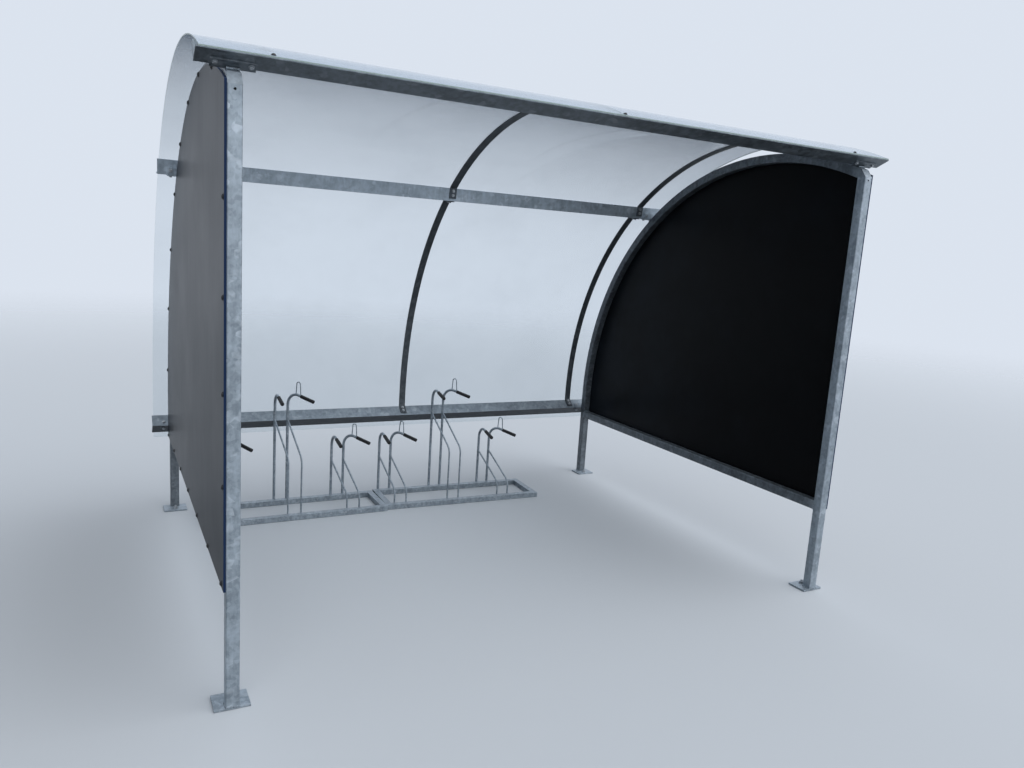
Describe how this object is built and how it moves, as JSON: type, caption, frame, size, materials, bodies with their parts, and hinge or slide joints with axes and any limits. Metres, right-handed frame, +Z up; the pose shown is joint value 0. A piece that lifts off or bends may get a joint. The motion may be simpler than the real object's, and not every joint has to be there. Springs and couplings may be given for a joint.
{
  "type": "bike shelter",
  "caption": "Open bicycle shelter: bowed tube end frames with flat side panels, a curved clear roof on angle purlins and ribs, and a floor rack of wheel holders.",
  "frame": {"origin": "middle of the shelter's length and depth, on the ground under its feet", "axes": "+X along the length from the left end frame to the right one as seen from the open front, +Y from the open front to the back, +Z up"},
  "size_m": [3.006, 2.2776, 2.2353],
  "materials": {
    "galvanised": "satin",
    "panel": "satin",
    "clear_sheet": "gloss",
    "rubber": "matte"
  },
  "bodies": {
    "root": {"front_post_left": "galvanised", "bow_left": "galvanised", "side_rail_left": "galvanised", "side_panel_left": "panel", "front_foot_left": "galvanised", "rear_foot_left": "galvanised", "front_bracket_left": "galvanised", "middle_bracket_left": "galvanised", "rear_bracket_left": "galvanised", "roof_sheet_left": "clear_sheet", "back_sheet_left": "clear_sheet", "front_post_right": "galvanised", "bow_right": "galvanised", "side_rail_right": "galvanised", "side_panel_right": "panel", "front_foot_right": "galvanised", "rear_foot_right": "galvanised", "front_bracket_right": "galvanised", "middle_bracket_right": "galvanised", "rear_bracket_right": "galvanised", "roof_sheet_right": "clear_sheet", "back_sheet_right": "clear_sheet", "front_beam": "galvanised", "middle_purlin": "galvanised", "rear_beam": "galvanised", "roof_rib_left": "galvanised", "back_rib_left": "galvanised", "roof_rib_middle": "galvanised", "back_rib_middle": "galvanised", "roof_rib_right": "galvanised", "back_rib_right": "galvanised", "rack_base_left": "galvanised", "holder_left_first": "galvanised", "holder_left_second": "galvanised", "holder_left_third": "galvanised", "hook_sleeves_left": "rubber", "rack_base_right": "galvanised", "holder_right_first": "galvanised", "holder_right_second": "galvanised", "holder_right_third": "galvanised", "hook_sleeves_right": "rubber"}
  },
  "joints": []
}
